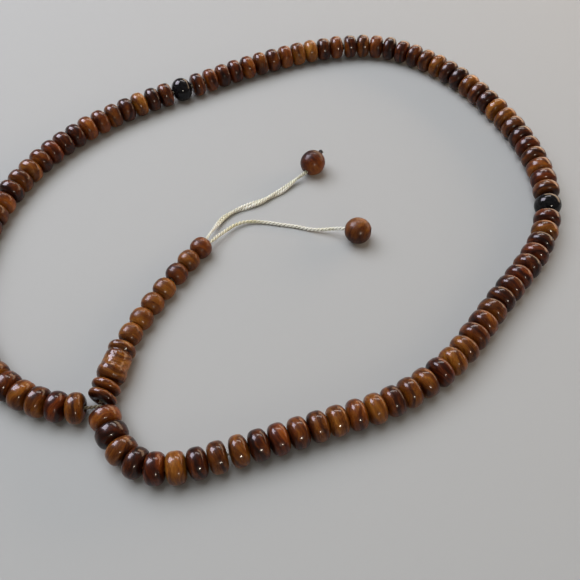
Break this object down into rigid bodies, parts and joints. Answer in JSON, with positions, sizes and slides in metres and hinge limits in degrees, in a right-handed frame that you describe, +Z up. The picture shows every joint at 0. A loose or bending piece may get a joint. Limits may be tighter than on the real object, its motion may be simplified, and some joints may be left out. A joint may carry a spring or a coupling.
{
  "type": "prayer bead string",
  "caption": "Loop of varnished wooden rondelle beads on a cord, with round black markers and a tail of a turned long bead, small round beads and two knotted cords.",
  "frame": {"origin": "on the surface that the beads lie on, in the middle of their footprint", "axes": "+Z up from the surface; +X along the longer side of the loop; +Y from the side where the loop is joined to the opposite side"},
  "size_m": [0.1775, 0.1706, 0.008],
  "materials": {
    "loop_wood": "varnished, glossy, banded light and dark",
    "guru_wood": "varnished, glossy",
    "tail_wood": "varnished, glossy",
    "end_wood": "varnished, satin",
    "black_bead": "polished black",
    "cord": "twisted cream cord",
    "knot": "black, matte"
  },
  "bodies": {
    "loop_junction": {"beads_001_002": "loop_wood", "beads_003_006": "loop_wood", "beads_007_008": "loop_wood", "beads_093_096": "loop_wood", "beads_097_100": "loop_wood", "loop_cord_junction": "cord"},
    "loop_front": {"beads_009_012": "loop_wood", "beads_013_016": "loop_wood", "beads_017_019": "loop_wood", "loop_cord_front": "cord"},
    "loop_front_right": {"beads_020_023": "loop_wood", "beads_024_027": "loop_wood", "beads_028_030": "loop_wood", "beads_031_033": "loop_wood", "loop_cord_front_right": "cord"},
    "loop_right": {"beads_034_037": "loop_wood", "beads_038_041": "loop_wood", "loop_cord_right": "cord"},
    "loop_back_right": {"beads_042_045": "loop_wood", "beads_046_049": "loop_wood", "beads_050_052": "loop_wood", "beads_053_055": "loop_wood", "loop_cord_back_right": "cord"},
    "loop_back": {"beads_056_059": "loop_wood", "beads_060_063": "loop_wood", "beads_064_066": "loop_wood", "loop_cord_back": "cord"},
    "loop_back_left": {"beads_068_071": "loop_wood", "beads_072_075": "loop_wood", "beads_076_078": "loop_wood", "beads_079_081": "loop_wood", "beads_082_084": "loop_wood", "loop_cord_back_left": "cord"},
    "loop_left": {"beads_085_088": "loop_wood", "beads_089_092": "loop_wood", "loop_cord_left": "cord"},
    "tail_head": {"tail_core_head": "cord"},
    "tail_middle": {"tail_core_middle": "cord"},
    "tail_end": {"tail_core_end": "cord"},
    "cord_a": {"tail_cord_a": "cord", "end_knot_a": "knot"},
    "cord_b": {"tail_cord_b": "cord", "end_knot_b": "knot"},
    "marker_bead_1": {"marker_bead_1": "black_bead"},
    "bead_067": {"bead_067": "loop_wood"},
    "marker_bead_2": {"marker_bead_2": "black_bead"},
    "spacer_disc_1": {"spacer_disc_1": "guru_wood"},
    "spacer_disc_2": {"spacer_disc_2": "guru_wood"},
    "guru_bead": {"guru_bead": "guru_wood"},
    "end_bead_a": {"end_bead_a": "end_wood"},
    "end_bead_b": {"end_bead_b": "end_wood"},
    "tail_bead_1": {"tail_bead_1": "tail_wood"},
    "tail_bead_2": {"tail_bead_2": "tail_wood"},
    "tail_bead_3": {"tail_bead_3": "tail_wood"},
    "tail_bead_4": {"tail_bead_4": "tail_wood"},
    "tail_bead_5": {"tail_bead_5": "tail_wood"},
    "tail_bead_6": {"tail_bead_6": "tail_wood"},
    "tail_bead_7": {"tail_bead_7": "tail_wood"}
  },
  "joints": [
    {"name": "front_bend", "type": "hinge", "parent": "loop_junction", "child": "loop_front", "pos_m": [-0.00946, -0.07796, 0.004], "axis": [0, 0, 1], "range_deg": [-12, 12]},
    {"name": "front_right_bend", "type": "hinge", "parent": "loop_front", "child": "loop_front_right", "pos_m": [0.04118, -0.05841, 0.004], "axis": [0, 0, 1], "range_deg": [-12, 12]},
    {"name": "right_bend", "type": "hinge", "parent": "loop_front_right", "child": "loop_right", "pos_m": [0.08426, 0.00319, 0.004], "axis": [0, 0, 1], "range_deg": [-12, 12]},
    {"name": "back_right_bend", "type": "hinge", "parent": "loop_right", "child": "loop_back_right", "pos_m": [0.0775, 0.04176, 0.004], "axis": [0, 0, 1], "range_deg": [-12, 12]},
    {"name": "left_bend", "type": "hinge", "parent": "loop_junction", "child": "loop_left", "pos_m": [-0.07766, -0.0467, 0.004], "axis": [0, 0, 1], "range_deg": [-12, 12]},
    {"name": "back_left_bend", "type": "hinge", "parent": "loop_left", "child": "loop_back_left", "pos_m": [-0.0842, -0.00829, 0.004], "axis": [0, 0, 1], "range_deg": [-12, 12]},
    {"name": "back_bend", "type": "hinge", "parent": "loop_back_left", "child": "loop_back", "pos_m": [-0.02409, 0.0611, 0.004], "axis": [0, 0, 1], "range_deg": [-12, 12]},
    {"name": "tail_swing", "type": "hinge", "parent": "loop_junction", "child": "tail_head", "pos_m": [-0.0415, -0.0651, 0.004], "axis": [0, 0, 1], "range_deg": [-8, 6]},
    {"name": "tail_middle_bend", "type": "hinge", "parent": "tail_head", "child": "tail_middle", "pos_m": [-0.03783, -0.04685, 0.00383], "axis": [0, 0, 1], "range_deg": [-6, 7]},
    {"name": "tail_end_bend", "type": "hinge", "parent": "tail_middle", "child": "tail_end", "pos_m": [-0.02791, -0.02638, 0.00315], "axis": [0, 0, 1], "range_deg": [-5, 6]},
    {"name": "cord_a_swing", "type": "hinge", "parent": "tail_end", "child": "cord_a", "pos_m": [-0.01895, -0.0112, 0.0031], "axis": [0, 0, 1], "range_deg": [-8, 12]},
    {"name": "cord_b_swing", "type": "hinge", "parent": "tail_end", "child": "cord_b", "pos_m": [-0.0172, -0.01185, 0.0031], "axis": [0, 0, 1], "range_deg": [-10, 8]},
    {"name": "spacer_disc_1_spin", "type": "hinge", "parent": "tail_head", "child": "spacer_disc_1", "pos_m": [-0.04128, -0.06271, 0.004], "axis": [0.3625, 0.932, 0.0001], "continuous": true},
    {"name": "spacer_disc_2_spin", "type": "hinge", "parent": "tail_head", "child": "spacer_disc_2", "pos_m": [-0.0408, -0.05986, 0.004], "axis": [0.3041, 0.9526, 0.0019], "continuous": true},
    {"name": "guru_bead_spin", "type": "hinge", "parent": "tail_head", "child": "guru_bead", "pos_m": [-0.03919, -0.05274, 0.00393], "axis": [0.2192, 0.9756, -0.0135], "continuous": true},
    {"name": "tail_bead_1_spin", "type": "hinge", "parent": "tail_middle", "child": "tail_bead_1", "pos_m": [-0.03671, -0.04408, 0.00359], "axis": [0.3768, 0.9229, -0.0794], "continuous": true},
    {"name": "tail_bead_2_spin", "type": "hinge", "parent": "tail_middle", "child": "tail_bead_2", "pos_m": [-0.03451, -0.03895, 0.00326], "axis": [0.411, 0.9109, -0.0379], "continuous": true},
    {"name": "tail_bead_3_spin", "type": "hinge", "parent": "tail_middle", "child": "tail_bead_3", "pos_m": [-0.03207, -0.03391, 0.00315], "axis": [0.4587, 0.8886, -0.0022], "continuous": true},
    {"name": "tail_bead_4_spin", "type": "hinge", "parent": "tail_middle", "child": "tail_bead_4", "pos_m": [-0.0294, -0.02899, 0.00315], "axis": [0.4953, 0.8687, 0.0007], "continuous": true},
    {"name": "tail_bead_5_spin", "type": "hinge", "parent": "tail_end", "child": "tail_bead_5", "pos_m": [-0.02636, -0.02382, 0.00315], "axis": [0.5183, 0.8552, 0], "continuous": true},
    {"name": "tail_bead_6_spin", "type": "hinge", "parent": "tail_end", "child": "tail_bead_6", "pos_m": [-0.02337, -0.01908, 0.00315], "axis": [0.549, 0.8358, 0], "continuous": true},
    {"name": "tail_bead_7_spin", "type": "hinge", "parent": "tail_end", "child": "tail_bead_7", "pos_m": [-0.02019, -0.01447, 0.00315], "axis": [0.5859, 0.8104, 0], "continuous": true},
    {"name": "marker_bead_1_spin", "type": "hinge", "parent": "loop_front_right", "child": "marker_bead_1", "pos_m": [0.08353, -0.00028, 0.004], "axis": [0.2054, 0.9787, 0], "continuous": true},
    {"name": "marker_bead_2_spin", "type": "hinge", "parent": "loop_back_left", "child": "marker_bead_2", "pos_m": [-0.03156, 0.05702, 0.004], "axis": [-0.8874, -0.461, 0], "continuous": true},
    {"name": "bead_067_spin", "type": "hinge", "parent": "loop_back_left", "child": "bead_067", "pos_m": [-0.02625, 0.05988, 0.004], "axis": [-0.8709, -0.4915, 0], "continuous": true},
    {"name": "end_bead_a_spin", "type": "hinge", "parent": "cord_a", "child": "end_bead_a", "pos_m": [0.0133, 0.0194, 0.00405], "axis": [0.5973, 0.7024, 0.3871], "continuous": true},
    {"name": "end_bead_b_spin", "type": "hinge", "parent": "cord_b", "child": "end_bead_b", "pos_m": [0.0257, -0.0094, 0.00405], "axis": [0.9583, -0.2738, 0.0821], "continuous": true}
  ],
  "couplings": [
    {"joint": "front_right_bend", "follows": "front_bend", "ratio": -1},
    {"joint": "back_bend", "follows": "front_bend", "ratio": 1},
    {"joint": "back_right_bend", "follows": "right_bend", "ratio": -1},
    {"joint": "left_bend", "follows": "right_bend", "ratio": 1},
    {"joint": "back_left_bend", "follows": "right_bend", "ratio": -1}
  ]
}
